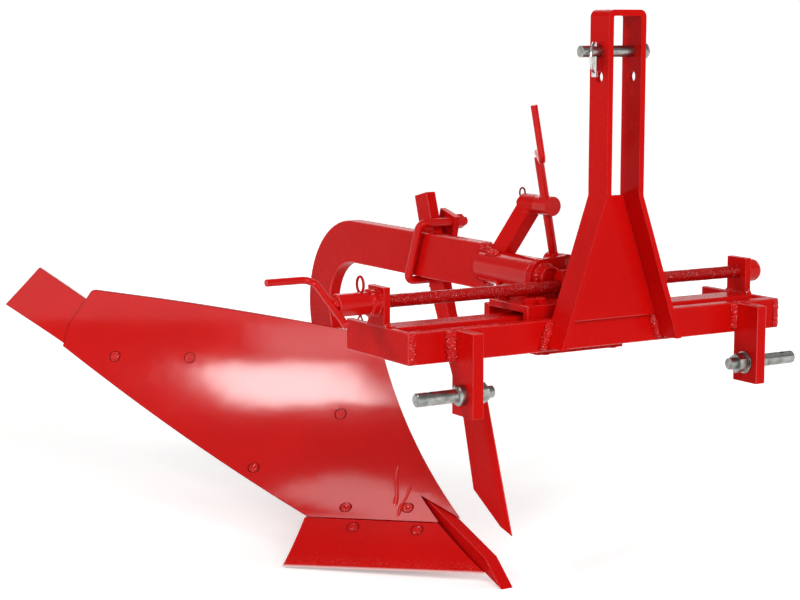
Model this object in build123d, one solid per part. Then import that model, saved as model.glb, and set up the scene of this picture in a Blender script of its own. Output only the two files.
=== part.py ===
from build123d import *
import math
import os

os.makedirs("parts", exist_ok=True)

# Working axes, in millimetres: +X is the plough's left, +Y runs to its rear, Z is height above the ground.
# X is zero at the mast, Y is zero at the front face of the front bar.

# Clearances
run_fit = 0.05
slide_gap = 0.6
seat_gap = 0.3
turn_gap = 1.1

# Hitch frame
frame_width = 770.0
bar_height = 52.0
bar_mid_z = 507.0
front_bar_depth = 22.0
end_bar_thick = 12.0
end_bar_length = 195.0
rail_front_y = 57.0
rail_depth = 60.0
rail_wall = 5.0
bar_top = bar_mid_z + bar_height / 2
bar_bottom = bar_mid_z - bar_height / 2
end_inner_x = frame_width / 2 - end_bar_thick
rail_rear_y = rail_front_y + rail_depth

# Carriage on the rail: a plate and two cheeks, held off the rail by a liner
saddle_half = 109.0
saddle_plate = 12.0
front_cheek = 14.0
rear_cheek = 15.0
liner_rise = 8.0
liner_front = 14.0
liner_rear = 25.0
liner_inset = 29.0
keeper_plate = 10.0
saddle_low = bar_bottom - slide_gap
saddle_top = bar_top + slide_gap + liner_rise + saddle_plate
rear_cheek_top = saddle_top - liner_rise
cheek_front_y = rail_front_y - slide_gap - liner_front - front_cheek
cheek_rear_y = rail_rear_y + slide_gap + liner_rear + rear_cheek

# Shift screw and its uprights
shift_y = 100.0
shift_z = saddle_top + 17.4
shift_radius = 11.0
upright_width = 50.0
upright_top = shift_z + 26.0
hub_radius = 18.5
hub_length = 62.0
boss_radius = 20.5
boss_length = 13.0
end_nut_radius = 20.0
end_nut_length = 34.0
crank_radius = 6.0
crank_grip = 85.0
crank_throw = 72.0
crank_tail = 54.0

# Lower hitch brackets and pins
bracket_outer_x = frame_width / 2 - 82.0
bracket_thick = 20.0
bracket_depth = 60.0
bracket_bottom = 397.0
pin_y = -30.0
pin_z = 432.0
pin_radius = 11.0
pin_tip_x = bracket_outer_x + 88.0
cross_hole = 26.0
shank_radius = 10.0
collar_radius = 17.0
collar_length = 13.0

# Mast
mast_inner = 28.0
mast_thick = 10.0
mast_depth = 50.0
mast_top = 1037.0
mast_bend_z = 735.0
mast_foot_z = 490.0
mast_splay = 0.353
mast_outer = mast_inner + mast_thick
splay_thick = mast_thick * math.hypot(1, mast_splay)
web_thick = 10.0
web_lap = 5.0
top_pin_radius = 9.5
top_pin_y = -mast_depth / 2
top_pin_z = mast_top - 67.0
lower_hole_z = top_pin_z - 41.0
linch_x = -mast_outer - 9.0
linch_radius = 5.0

# Pivot of the plough body on the carriage
pivot_x = -28.0
pivot_z = 585.0
axle_radius = 19.0
axle_bore = 13.0
axle_front_y = 114.0
axle_rear_y = 296.0
tube_radius = 30.0
tube_front_y = 148.0
tube_rear_y = 312.0
plate_thick = 12.0
plate_rear_y = tube_front_y - 2.0
plate_front_y = plate_rear_y - plate_thick
nut_length = 56.0
nut_wall = 13.4

# Tilt screw, from its lower swivel up through the trunnion nut
swivel_dx = 50.0
swivel_dz = 21.0
screw_lean = 11.2
nut_distance = 98.0
nut_bore_shift = 0.71
screw_reach = 185.0
screw_y = 175.0
screw_radius = 8.0
barrel_radius = 14.0
barrel_front_y = plate_rear_y + 4.0
barrel_rear_y = 186.0
drum_radius = 17.0
drum_half = 20.0
stub_radius = 10.0
sleeve_front_y = 196.5
sleeve_rear_y = 238.0
stub_rear_y = 251.0
lean = math.radians(screw_lean)
swivel_x = pivot_x + swivel_dx
swivel_z = pivot_z + swivel_dz
nut_x = swivel_x - nut_distance * math.sin(lean)
nut_z = swivel_z + nut_distance * math.cos(lean)
screw_top_x = swivel_x - screw_reach * math.sin(lean)
screw_top_z = swivel_z + screw_reach * math.cos(lean)

# Beam with its gooseneck
beam_thick = 25.0
beam_height = 84.0
neck_y = 771.0
neck_radius = 136.5
neck_turn = 120.0
neck_tail = 170.0
beam_right = pivot_x - beam_thick / 2
beam_left = pivot_x + beam_thick / 2
beam_top = pivot_z + beam_height / 2

# Plough bottom: share and moldboard lie on one cylinder with a level axis, set by its lift at the edge
cut_angle = math.radians(40.0)
edge_lift = math.radians(27.1)
edge_across = 144.4
edge_z = 4.0
edge_climb = 0.0357
form_radius = 629.0
form_u = edge_across - form_radius * math.sin(edge_lift)
form_z = edge_z + form_radius * math.cos(edge_lift)
board_thick = 8.0
wing_s = 641.0
seam_z = 74.0
seam_slope = 0.03
board_reach = 617.0
board_rise = 388.0
land_x = -4.0
shin_x = land_x
point_width = 26.0
point_depth = 27.0
point_pitch = math.radians(18.8)
point_tip_y = 254.6
point_length = 480.0
point_nose_run = 54.4
point_nose_rise = 47.5
point_gap = 1.0
point_flare = 8.5
point_flare_run = 165.0
point_flare_end = 230.0
notch_gap = 7.0
landside_thick = 12.0
landside_height = 78.0
landside_front_y = 500.0
landside_rear_y = 850.0
frog_thick = 18.0
frog_low = 30.0
frog_foot = 140.0
frog_neck = 260.0
frog_high = 320.0
flange_thick = 12.0
flange_low_start = 380.113
flange_wing_gap = 41.024
flange_high_start = 544.85
flange_high_length = 105.124
landside_nose = 70.0
brace_thick = 12.0
brace_width = 45.0
brace_spare = 40.0
brace_back = 90.0
brace_rise = 52.0
brace_side = 6.0
holder_wall = 10.0
holder_start = 356.0
holder_length = 80.0

# Knife coulter and its clamp
knife_thick = 20.0
knife_top_y = 577.0
knife_top_z = 690.0
knife_bend_y = 498.0
knife_bend_z = 470.0
knife_bevel = 18.0
knife_edge = 1.6
shank_width = 41.0
shoulder_y = 337.0
shoulder_z = 323.0
tip_y = 257.0
tip_z = 95.0
heel_y = 370.0
heel_z = 161.0
back_y = 405.0
back_z = 288.0
bolt_radius = 8.0
bolt_gap = 1.9
bolt_high_gap = 10.0
bolt_high_y = 502.0
bolt_low_y = 546.0
bolt_tip_x = 52.0
clamp_pad = 13.5
clamp_plate = 12.0
clamp_half = 26.5
clamp_lean = math.radians(14.5)
clamp_over = 28.0
bolt_high_z = beam_top + bolt_radius + bolt_high_gap
bolt_low_z = pivot_z - beam_height / 2 - bolt_radius - bolt_gap
knife_far_x = beam_left + knife_thick
clamp_x = knife_far_x + clamp_pad

across = Vector(math.cos(cut_angle), math.sin(cut_angle), 0)
along = Vector(-math.sin(cut_angle), math.cos(cut_angle), 0)


def block(x0, x1, y0, y1, z0, z1):
    return Pos((x0 + x1) / 2, (y0 + y1) / 2, (z0 + z1) / 2) * Box(x1 - x0, y1 - y0, z1 - z0)


def rod(start, end, radius):
    a = Vector(*start)
    b = Vector(*end)
    plane = Plane(origin=a, z_dir=b - a)
    return extrude(plane * Circle(radius), amount=(b - a).length)


def rod_x(x0, x1, y, z, radius):
    return rod((x0, y, z), (x1, y, z), radius)


def rod_y(y0, y1, x, z, radius):
    return rod((x, y0, z), (x, y1, z), radius)


def side_plate(points, x0, x1):
    face = make_face(Polyline(*points, close=True))
    return extrude(Plane.YZ.offset(x0) * face, amount=x1 - x0)


def front_plate(face, y0, y1):
    plane = Plane(origin=(0, y1, 0), x_dir=(1, 0, 0), z_dir=(0, -1, 0))
    return extrude(plane * face, amount=y1 - y0)


def bent_rod(points, radius, bend):
    path = FilletPolyline(*points, radius=bend)
    start = Plane(origin=path @ 0, z_dir=path % 0)
    return sweep(start * Circle(radius), path=path)


def hex_nut(start, end, flats):
    a = Vector(*start)
    b = Vector(*end)
    plane = Plane(origin=a, z_dir=b - a)
    return extrude(plane * RegularPolygon(flats / 2, 6, major_radius=False), amount=(b - a).length)


def mirrored(part):
    return mirror(part, about=Plane.YZ)


# Hitch frame pieces

def front_bar():
    return block(-end_inner_x, end_inner_x, 0, front_bar_depth, bar_bottom, bar_top)


def slide_rail():
    outer = block(-end_inner_x, end_inner_x, rail_front_y, rail_rear_y, bar_bottom, bar_top)
    outer = fillet(outer.edges().filter_by(Axis.X), 6)
    bore = block(-end_inner_x, end_inner_x, rail_front_y + rail_wall, rail_rear_y - rail_wall,
                 bar_bottom + rail_wall, bar_top - rail_wall)
    return outer - bore


def end_bar():
    return block(end_inner_x, frame_width / 2, 0, end_bar_length, bar_bottom, bar_top)


def screw_upright():
    half = upright_width / 2
    plate = block(end_inner_x, frame_width / 2, shift_y - half, shift_y + half, bar_top, upright_top)
    return plate - rod_x(0, frame_width, shift_y, shift_z, shift_radius + run_fit)


def shift_screw():
    left_x = frame_width / 2 + end_nut_length - 6
    right_x = frame_width / 2 + boss_length + hub_length
    return rod_x(-right_x, left_x, shift_y, shift_z, shift_radius)


def shift_collar(outer_x, length, radius):
    ring = rod_x(outer_x, outer_x + length, shift_y, shift_z, radius)
    return ring - rod_x(outer_x, outer_x + length, shift_y, shift_z, shift_radius + run_fit)


def shift_end_nut():
    nut = rod_x(frame_width / 2, frame_width / 2 + end_nut_length, shift_y, shift_z, end_nut_radius)
    nut = fillet(nut.edges().filter_by(GeomType.CIRCLE).sort_by(Axis.X)[-1], end_nut_radius / 2)
    depth = end_nut_length - 6 + run_fit
    return nut - rod_x(frame_width / 2, frame_width / 2 + depth, shift_y, shift_z, shift_radius + run_fit)


def shift_crank():
    hub_end = -frame_width / 2 - boss_length - hub_length
    middle = Vector(hub_end - crank_radius - seat_gap, shift_y, shift_z)
    rise = Vector(0, 16, 9).normalized()
    high = middle + rise * crank_throw
    return bent_rod([middle - rise * crank_tail, high, high + Vector(-crank_grip, 0, 0)], crank_radius, 20)


def lower_bracket():
    inner_x = bracket_outer_x - bracket_thick
    plate = block(inner_x, bracket_outer_x, -bracket_depth, 0, bracket_bottom, bar_top)
    return plate - rod_x(0, frame_width, pin_y, pin_z, shank_radius + run_fit)


def lower_pin():
    shank = rod_x(bracket_outer_x - bracket_thick - 36, bracket_outer_x, pin_y, pin_z, shank_radius)
    collar = rod_x(bracket_outer_x, bracket_outer_x + collar_length, pin_y, pin_z, collar_radius)
    collar = chamfer(collar.edges().filter_by(GeomType.CIRCLE).sort_by(Axis.X)[-1], 3)
    pin = rod_x(bracket_outer_x + collar_length, pin_tip_x, pin_y, pin_z, pin_radius)
    pin = chamfer(pin.edges().filter_by(GeomType.CIRCLE).sort_by(Axis.X)[-1], 2)
    hole_x = pin_tip_x - cross_hole
    hole = rod((hole_x, pin_y, pin_z - 20), (hole_x, pin_y, pin_z + 20), 5)
    return shank + collar + pin - hole


def lower_pin_nut():
    face = bracket_outer_x - bracket_thick
    washer = rod_x(face, face - 4, pin_y, pin_z, 19.5)
    nut = hex_nut((face - 4, pin_y, pin_z), (face - 22, pin_y, pin_z), 30)
    hole = rod_x(face, face - 22, pin_y, pin_z, shank_radius + run_fit)
    return washer + nut - hole


def mast_profile(inset, top, fillet_radius):
    half = mast_outer - inset
    foot = half + (mast_bend_z - mast_foot_z) * mast_splay
    if inset:
        foot = foot + inset - splay_thick
    points = [(-foot, mast_foot_z), (-half, mast_bend_z), (-half, top), (half, top), (half, mast_bend_z),
              (foot, mast_foot_z)]
    face = make_face(Polyline(*points, close=True))
    crown = face.vertices().sort_by(Axis.Y)[-2:]
    return fillet(crown, fillet_radius)


def mast():
    hoop = mast_profile(0, mast_top, 12) - mast_profile(mast_thick, mast_top - mast_thick, 3)
    body = front_plate(hoop, -mast_depth, 0)
    pin_hole = rod_x(-60, 60, top_pin_y, top_pin_z, top_pin_radius + run_fit)
    low_hole = rod_x(-60, 60, top_pin_y, lower_hole_z, top_pin_radius + 0.25)
    return body - pin_hole - low_hole


def mast_web():
    low = bar_top - web_lap
    half_low = mast_outer + (mast_bend_z - low) * mast_splay - splay_thick
    high = mast_bend_z - (splay_thick - mast_thick) / mast_splay
    points = [(-half_low, low), (half_low, low), (mast_inner, high), (-mast_inner, high)]
    return front_plate(make_face(Polyline(*points, close=True)), -web_thick, 0)


def top_link_pin():
    pin = rod_x(linch_x - 29, mast_outer, top_pin_y, top_pin_z, top_pin_radius)
    head = rod_x(mast_outer, mast_outer + 22, top_pin_y, top_pin_z, 14)
    head = fillet(head.edges().filter_by(GeomType.CIRCLE).sort_by(Axis.X)[-1], 9)
    low = (linch_x, top_pin_y, top_pin_z - 20)
    high = (linch_x, top_pin_y, top_pin_z + 20)
    hole = rod(low, high, linch_radius + run_fit)
    return pin + head - hole


def linch_pin():
    mid_z = top_pin_z - 10
    stem = rod((linch_x, top_pin_y, mid_z - 31), (linch_x, top_pin_y, mid_z + 25), linch_radius)
    out = Vector(-0.8, -0.6, 0)
    middle = Vector(linch_x, top_pin_y, mid_z)
    ring = Plane(origin=middle, x_dir=out, z_dir=out.cross(Vector(0, 0, 1))) * Torus(24, 2.2)
    keep = Plane(origin=middle, x_dir=(0, 0, 1), z_dir=out) * Pos(0, 0, 25) * Box(80, 20, 50)
    return stem + (ring & keep)


# Carriage pieces

def saddle():
    left = pivot_x - saddle_half
    right = pivot_x + saddle_half
    front_inner = cheek_front_y + front_cheek
    rear_inner = cheek_rear_y - rear_cheek
    plate = block(left, right, cheek_front_y, rear_inner, saddle_top - saddle_plate, saddle_top)
    front = block(left, right, cheek_front_y, front_inner, saddle_low, saddle_top)
    rear = block(left, right, rear_inner, cheek_rear_y, saddle_low, rear_cheek_top)
    liner = block(left + liner_inset, right - liner_inset, front_inner, rear_inner, saddle_low,
                  saddle_top - saddle_plate)
    rail_room = block(left, right, rail_front_y - slide_gap, rail_rear_y + slide_gap, saddle_low,
                      bar_top + slide_gap)
    return plate + front + rear + (liner - rail_room)


def keeper_strap():
    left = pivot_x - saddle_half + 20
    right = pivot_x + saddle_half - 20
    return block(left, right, cheek_front_y, cheek_rear_y, saddle_low - keeper_plate, saddle_low)


def pivot_plate():
    base = make_face(Polyline((pivot_x - 44, saddle_top), (swivel_x + 30, saddle_top),
                              (swivel_x + 14, swivel_z), (swivel_x - 6, swivel_z + 12),
                              (pivot_x, pivot_z + tube_radius), (pivot_x - tube_radius, pivot_z),
                              close=True))
    around_axle = Pos(pivot_x, pivot_z) * Circle(tube_radius)
    around_swivel = Pos(swivel_x, swivel_z) * Circle(14)
    plate = front_plate(base + around_axle + around_swivel, plate_front_y, plate_rear_y)
    axle_hole = rod_y(0, 300, pivot_x, pivot_z, axle_radius + run_fit)
    pin_hole = rod_y(0, 300, swivel_x, swivel_z, screw_radius + run_fit)
    return plate - axle_hole - pin_hole


def pivot_axle():
    axle = rod_y(axle_front_y, axle_rear_y, pivot_x, pivot_z, axle_radius)
    return axle - rod_y(axle_front_y, axle_rear_y, pivot_x, pivot_z, axle_bore)


def shift_nut():
    left = pivot_x + 3.5
    front = shift_y - nut_wall - 2.6
    rear = shift_y + nut_wall
    top = shift_z + 29
    points = [(front, saddle_top), (rear, saddle_top), (rear, shift_z + nut_wall), (shift_y + 2, top),
              (front, top)]
    block_nut = side_plate(points, left, left + nut_length)
    return block_nut - rod_x(-200, 200, shift_y, shift_z, shift_radius + 2 * run_fit)


def swivel_pin():
    rear = barrel_rear_y + 5
    stem = rod_y(plate_front_y, rear, swivel_x, swivel_z, screw_radius)
    washer = rod_y(rear - 4, rear, swivel_x, swivel_z, barrel_radius)
    collar = rod_y(plate_rear_y, barrel_front_y - 1, swivel_x, swivel_z, barrel_radius)
    return stem + washer + collar


# Tilt screw pieces

def tilt_screw():
    barrel = rod_y(barrel_front_y, barrel_rear_y, swivel_x, swivel_z, barrel_radius)
    screw = rod((swivel_x, screw_y, swivel_z), (screw_top_x, screw_y, screw_top_z), screw_radius)
    hole = rod_y(0, 300, swivel_x, swivel_z, screw_radius + run_fit)
    return barrel + screw - hole


def tilt_crank():
    axis = Vector(-math.sin(lean), 0, math.cos(lean))
    top = Vector(screw_top_x, screw_y, screw_top_z) + axis * (crank_radius + seat_gap)
    out = Vector(-0.52, -0.85, 0)
    out = (out - axis * out.dot(axis)).normalized()
    start = top - out * screw_radius
    elbow = top + out * 92
    return bent_rod([start, elbow, elbow + axis * 98], crank_radius, 14)


def trunnion_nut():
    drum = rod_y(screw_y - drum_half, screw_y + drum_half, nut_x, nut_z, drum_radius)
    stub = rod_y(screw_y + drum_half, stub_rear_y, nut_x, nut_z, stub_radius)
    axis = Vector(-math.sin(lean), 0, math.cos(lean))
    mid = Vector(nut_x, screw_y, nut_z) - Vector(math.cos(lean), 0, math.sin(lean)) * nut_bore_shift
    bore = rod(mid - axis * 40, mid + axis * 40, screw_radius + turn_gap)
    return drum + stub - bore


# Plough body pieces

def pivot_tube():
    tube = rod_y(tube_front_y, tube_rear_y, pivot_x, pivot_z, tube_radius)
    return tube - rod_y(tube_front_y, axle_rear_y + 4, pivot_x, pivot_z, axle_radius + run_fit)


def tilt_arm():
    sleeve = rod_y(sleeve_front_y, sleeve_rear_y, nut_x, nut_z, drum_radius)
    foot = Vector(pivot_x, tube_rear_y - 32, pivot_z + 10)
    head = Vector(nut_x, (sleeve_front_y + sleeve_rear_y) / 2 + 2, nut_z)
    axis = (head - foot).normalized()
    plane = Plane(origin=foot, x_dir=(1, 0, 0), z_dir=axis)
    bar = extrude(plane * Rectangle(26, 34), amount=(head - foot).length + 30)
    bar = bar - block(nut_x - 60, nut_x + 60, screw_y, tube_rear_y, nut_z, nut_z + 90)
    bar = bar - rod_y(tube_front_y, tube_rear_y + 90, pivot_x, pivot_z, tube_radius + run_fit)
    return bar + sleeve - rod_y(screw_y, sleeve_rear_y + 60, nut_x, nut_z, stub_radius + run_fit)


def beam():
    neck_z = pivot_z - neck_radius
    end_angle = math.radians(90 - neck_turn)
    last = Vector(neck_y + neck_radius * math.cos(end_angle), neck_z + neck_radius * math.sin(end_angle))
    heading = Vector(math.sin(end_angle), -math.cos(end_angle))
    straight = Line((tube_rear_y, pivot_z), (neck_y, pivot_z))
    bend = CenterArc((neck_y, neck_z), neck_radius, 90, -neck_turn)
    tail = Line(last, last + heading * neck_tail)
    path = Plane.YZ.offset(pivot_x) * Wire([straight, bend, tail])
    start = Plane(origin=(pivot_x, tube_rear_y, pivot_z), x_dir=(1, 0, 0), z_dir=(0, 1, 0))
    return sweep(start * Rectangle(beam_thick, beam_height), path=path)


def form_cylinder(radius):
    start = across * form_u + Vector(0, 0, form_z) - along * (wing_s + board_reach)
    end = start + along * (3 * (wing_s + board_reach))
    return rod(tuple(start), tuple(end), radius)


def form_across(z, offset):
    return form_u + math.sqrt((form_radius + offset) ** 2 - (form_z - z) ** 2)


def form_plate(outline, inner, outer):
    plane = Plane(origin=(0, 0, 0), x_dir=along, z_dir=across)
    blank = extrude(plane * outline, amount=2 * form_radius)
    return blank & (form_cylinder(outer) - form_cylinder(inner))


def right_of(x):
    return block(x - 1500, x, -500, 2500, -200, 1500)


def seam(s):
    return seam_z + (wing_s - s) * seam_slope


def on_board(reach, rise):
    return (wing_s + board_reach * reach, seam_z + board_rise * rise)


def point_bar(start, length, wall, x0, x1):
    cos_p = math.cos(point_pitch)
    sin_p = math.sin(point_pitch)

    def at(run, height):
        return (point_tip_y + run * cos_p - height * sin_p, run * sin_p + height * cos_p)
    points = [at(start, -wall), at(start, point_depth + wall), at(start + length, point_depth + wall),
              at(start + length, -wall)]
    return side_plate(points, x0, x1)


def chisel_point():
    bar = point_bar(-60, point_length + 60, 0, land_x - point_width, land_x)
    nose = [(point_tip_y, 0), (point_tip_y + point_nose_run, point_nose_rise),
            (point_tip_y, 3 * point_nose_rise),
            (point_tip_y - 150, 3 * point_nose_rise), (point_tip_y - 150, -60), (point_tip_y, -60)]
    return bar - side_plate(nose, land_x - point_width, land_x)


def point_slot():
    slot = point_bar(-60, 2 * point_length, 2 * point_gap, land_x - point_width - notch_gap, land_x + 20)
    return slot + Pos(0, 20, -40) * slot


def point_holder():
    left = land_x - point_width
    body = point_bar(holder_start, holder_length, holder_wall, beam_right, land_x)
    return body - point_bar(0, point_length, run_fit, left - run_fit, land_x + 20)


def moldboard():
    tail_low = on_board(1.0, 0.696)
    tail_high = on_board(0.911, 1.0)
    front = on_board(-0.26, 0.804)
    near = (0.47 * wing_s, seam(0.47 * wing_s))
    wing = (wing_s - 7, seam(wing_s - 7))
    lower = ThreePointArc(wing, on_board(0.494, 0.299), tail_low)
    end = Polyline(tail_low, on_board(0.987, 0.809), tail_high)
    upper = ThreePointArc(tail_high, on_board(0.404, 0.933), front)
    outline = make_face([Line(near, wing), lower, end, upper, Line(front, near)])
    outline = fillet(outline.vertices().sort_by(Axis.Y)[-1], 14)
    board = form_plate(outline, form_radius, form_radius + board_thick)
    return (board & right_of(shin_x)) - point_slot()


def moldboard_tail():
    points = [on_board(1.122, 1.103), on_board(1.246, 0.894), on_board(0.773, 0.526), on_board(0.647, 0.691)]
    outline = make_face(Polyline(*points, close=True))
    inner = form_radius + board_thick + seat_gap
    return form_plate(outline, inner, inner + board_thick)


def share():
    near_s = 0.3 * wing_s
    near_z = edge_z + (wing_s - near_s) * edge_climb
    edge_y = point_tip_y + 35
    points = [(near_s, near_z), (wing_s + 2, edge_z), (wing_s - 2, seam(wing_s) - point_gap),
              (near_s, seam(near_s) - point_gap)]
    outline = make_face(Polyline(*points, close=True))
    plate = form_plate(outline, form_radius, form_radius + board_thick)
    inner = land_x - point_width - point_gap
    flare_y = edge_y + point_flare_run
    end_y = edge_y + point_flare_end
    corner = make_face(Polyline((inner, edge_y), (inner - point_flare, flare_y), (inner - point_flare, end_y),
                                (inner, end_y), close=True))
    return (plate & right_of(inner)) - extrude(corner, amount=2 * seam_z)


def frog_flange(s0, s1, z0, z1):
    outline = make_face(Polyline((s0, z0), (s1, z0), (s1, z1), (s0, z1), close=True))
    inner = form_radius + board_thick + seat_gap
    return form_plate(outline, inner, inner + flange_thick) & right_of(beam_right)


def frog():
    rear = landside_rear_y
    points = [(landside_front_y - 100, frog_low), (rear - 80, frog_low), (rear - 50, frog_low + frog_foot),
              (rear + 18, frog_low + frog_foot + 20), (rear + 55, frog_low + frog_neck),
              (rear, frog_low + frog_high - 5), (rear - 90, frog_low + frog_high),
              (landside_front_y + 60, frog_low + frog_foot + 20)]
    plate = side_plate(points, beam_right - frog_thick, beam_right)
    plate = plate - form_cylinder(form_radius + board_thick + seat_gap)
    low_flange = frog_flange(flange_low_start, wing_s - flange_wing_gap, seam_z - 24, seam_z + 40)
    high_z = seam_z + 0.36 * board_rise
    high_end = flange_high_start + flange_high_length
    high_flange = frog_flange(flange_high_start, high_end, high_z, high_z + 0.17 * board_rise)
    return plate + low_flange + high_flange


def foot_block():
    front_y = landside_front_y + 100
    return block(beam_right, land_x - landside_thick, front_y, front_y + 90, 14, landside_height - 12)


def landside():
    points = [(landside_front_y, 0), (landside_rear_y, 0), (landside_rear_y, landside_height),
              (landside_front_y + landside_nose, landside_height), (landside_front_y, landside_height / 2)]
    return side_plate(points, land_x - landside_thick, land_x)


def moldboard_brace():
    seat_z = seam_z + board_rise * 0.53
    seat = across * form_across(seat_z, board_thick) + along * (wing_s + board_reach / 2)
    start = Vector(beam_right + brace_side, landside_rear_y - brace_back, landside_height + brace_rise)
    end = Vector(seat.X, seat.Y, seat_z)
    axis = (end - start).normalized()
    plane = Plane(origin=start, x_dir=axis.cross(Vector(0, 0, 1)), z_dir=axis)
    bar = extrude(plane * Rectangle(brace_thick, brace_width), amount=(end - start).length + brace_spare)
    bar = bar & right_of(beam_right - frog_thick)
    return bar - form_cylinder(form_radius + board_thick + seat_gap)


def knife_coulter():
    points = [(knife_top_y, knife_top_z), (knife_top_y - shank_width, knife_top_z + 10),
              (knife_bend_y - shank_width, knife_bend_z + 6), (shoulder_y, shoulder_z), (tip_y, tip_z),
              (heel_y, heel_z), (back_y, back_z), (knife_bend_y, knife_bend_z),
              (knife_bend_y + 25, knife_bend_z + 51)]
    blade = side_plate(points, beam_left, knife_far_x)
    front = [e for e in blade.edges() if e.length > 200 and e.center().Y < shoulder_y]
    face = [f for f in blade.faces() if all(e in f.edges() for e in front)][0]
    return chamfer(front, (knife_thick - knife_edge) / 2, knife_bevel, reference=face)


def coulter_u_bolt():
    bow = beam_right - bolt_radius - bolt_gap
    points = [(bolt_tip_x, bolt_high_y, bolt_high_z), (bow, bolt_high_y, bolt_high_z),
              (bow, bolt_low_y, bolt_low_z), (bolt_tip_x, bolt_low_y, bolt_low_z)]
    return bent_rod(points, bolt_radius, 14)


def coulter_clamp():
    down = (math.sin(clamp_lean), -math.cos(clamp_lean))
    side = (math.cos(clamp_lean), math.sin(clamp_lean))
    low = (bolt_low_y + clamp_over * down[0], bolt_low_z + clamp_over * down[1])
    length = (bolt_high_z - bolt_low_z) / math.cos(clamp_lean) + 1.6 * clamp_over
    high = (low[0] - length * down[0], low[1] - length * down[1])
    points = [(c[0] + way * clamp_half * side[0], c[1] + way * clamp_half * side[1])
              for c, way in ((high, -1), (high, 1), (low, 1), (low, -1))]
    plate = side_plate(points, clamp_x, clamp_x + clamp_plate)
    middle_y = (bolt_high_y + bolt_low_y) / 2
    plate = plate + block(knife_far_x, clamp_x, middle_y - 30, middle_y + 30, pivot_z - 26, pivot_z + 26)
    for y, z in ((bolt_high_y, bolt_high_z), (bolt_low_y, bolt_low_z)):
        plate = plate - rod_x(beam_left, bolt_tip_x, y, z, bolt_radius + seat_gap)
    return plate


def coulter_nut(y, z):
    face = clamp_x + clamp_plate
    nut = hex_nut((face, y, z), (face + 13, y, z), 24)
    return nut - rod_x(face, face + 13, y, z, bolt_radius + run_fit)


boss_right = -frame_width / 2 - boss_length
pieces = {
    "front_bar": front_bar(),
    "slide_rail": slide_rail(),
    "end_bar_left": end_bar(),
    "end_bar_right": mirrored(end_bar()),
    "screw_upright_left": screw_upright(),
    "screw_upright_right": mirrored(screw_upright()),
    "shift_screw": shift_screw(),
    "shift_end_nut": shift_end_nut(),
    "shift_boss": shift_collar(boss_right, boss_length, boss_radius),
    "shift_hub": shift_collar(boss_right - hub_length, hub_length, hub_radius),
    "shift_crank": shift_crank(),
    "lower_bracket_left": lower_bracket(),
    "lower_bracket_right": mirrored(lower_bracket()),
    "lower_pin_left": lower_pin(),
    "lower_pin_right": mirrored(lower_pin()),
    "lower_pin_nut_left": lower_pin_nut(),
    "lower_pin_nut_right": mirrored(lower_pin_nut()),
    "mast": mast(),
    "mast_web": mast_web(),
    "top_link_pin": top_link_pin(),
    "linch_pin": linch_pin(),
    "saddle": saddle(),
    "keeper_strap": keeper_strap(),
    "pivot_plate": pivot_plate(),
    "pivot_axle": pivot_axle(),
    "shift_nut": shift_nut(),
    "swivel_pin": swivel_pin(),
    "tilt_screw": tilt_screw(),
    "tilt_crank": tilt_crank(),
    "trunnion_nut": trunnion_nut(),
    "pivot_tube": pivot_tube(),
    "tilt_arm": tilt_arm(),
    "beam": beam(),
    "frog": frog(),
    "foot_block": foot_block(),
    "landside": landside(),
    "share": share(),
    "chisel_point": chisel_point(),
    "point_holder": point_holder(),
    "moldboard": moldboard(),
    "moldboard_tail": moldboard_tail(),
    "moldboard_brace": moldboard_brace(),
    "knife_coulter": knife_coulter(),
    "coulter_u_bolt": coulter_u_bolt(),
    "coulter_clamp": coulter_clamp(),
    "coulter_nut_upper": coulter_nut(bolt_high_y, bolt_high_z),
    "coulter_nut_lower": coulter_nut(bolt_low_y, bolt_low_z),
}

# The origin is the middle of the whole part's footprint, on the ground
boxes = [piece.bounding_box() for piece in pieces.values()]
mid_x = (min(b.min.X for b in boxes) + max(b.max.X for b in boxes)) / 2
mid_y = (min(b.min.Y for b in boxes) + max(b.max.Y for b in boxes)) / 2
low_z = min(b.min.Z for b in boxes)
print("origin in working axes", round(mid_x, 4), round(mid_y, 4), round(low_z, 4))
for name, piece in pieces.items():
    export_step(Pos(-mid_x, -mid_y, -low_z) * piece, f"parts/{name}.step")
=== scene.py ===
import math

import bmesh
import bpy
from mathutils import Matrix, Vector, noise


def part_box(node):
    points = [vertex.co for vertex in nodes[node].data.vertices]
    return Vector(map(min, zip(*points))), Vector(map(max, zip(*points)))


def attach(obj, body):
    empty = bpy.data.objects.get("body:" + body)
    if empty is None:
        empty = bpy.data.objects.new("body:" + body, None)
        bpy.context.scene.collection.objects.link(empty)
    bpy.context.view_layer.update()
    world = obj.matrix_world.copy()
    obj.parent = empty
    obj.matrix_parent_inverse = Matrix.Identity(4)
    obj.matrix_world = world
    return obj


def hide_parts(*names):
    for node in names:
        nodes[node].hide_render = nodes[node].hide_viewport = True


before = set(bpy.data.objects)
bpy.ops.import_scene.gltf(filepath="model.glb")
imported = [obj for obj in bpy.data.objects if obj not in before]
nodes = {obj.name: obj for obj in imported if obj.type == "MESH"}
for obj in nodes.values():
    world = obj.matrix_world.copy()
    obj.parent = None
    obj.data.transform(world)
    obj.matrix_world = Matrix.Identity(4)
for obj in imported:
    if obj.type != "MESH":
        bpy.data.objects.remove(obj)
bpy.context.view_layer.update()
scene = bpy.context.scene
scene.view_settings.view_transform = "Standard"
print("frame loaded,", len(nodes), "solids")

# places below are in millimetres from here: mast centre line, front of the front bar, ground
mastLow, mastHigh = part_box("mast")
zeroPoint = Vector(((mastLow.x + mastHigh.x) / 2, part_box("front_bar")[0].y, 0))


def spot(x, y, z):
    return zeroPoint + Vector((x, y, z)) / 1000


def boxOf(node):   # a solid's low and high corner in millimetres, to a tenth
    return [Vector([round(value * 1000, 1) for value in corner - zeroPoint]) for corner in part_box(node)]


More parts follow.
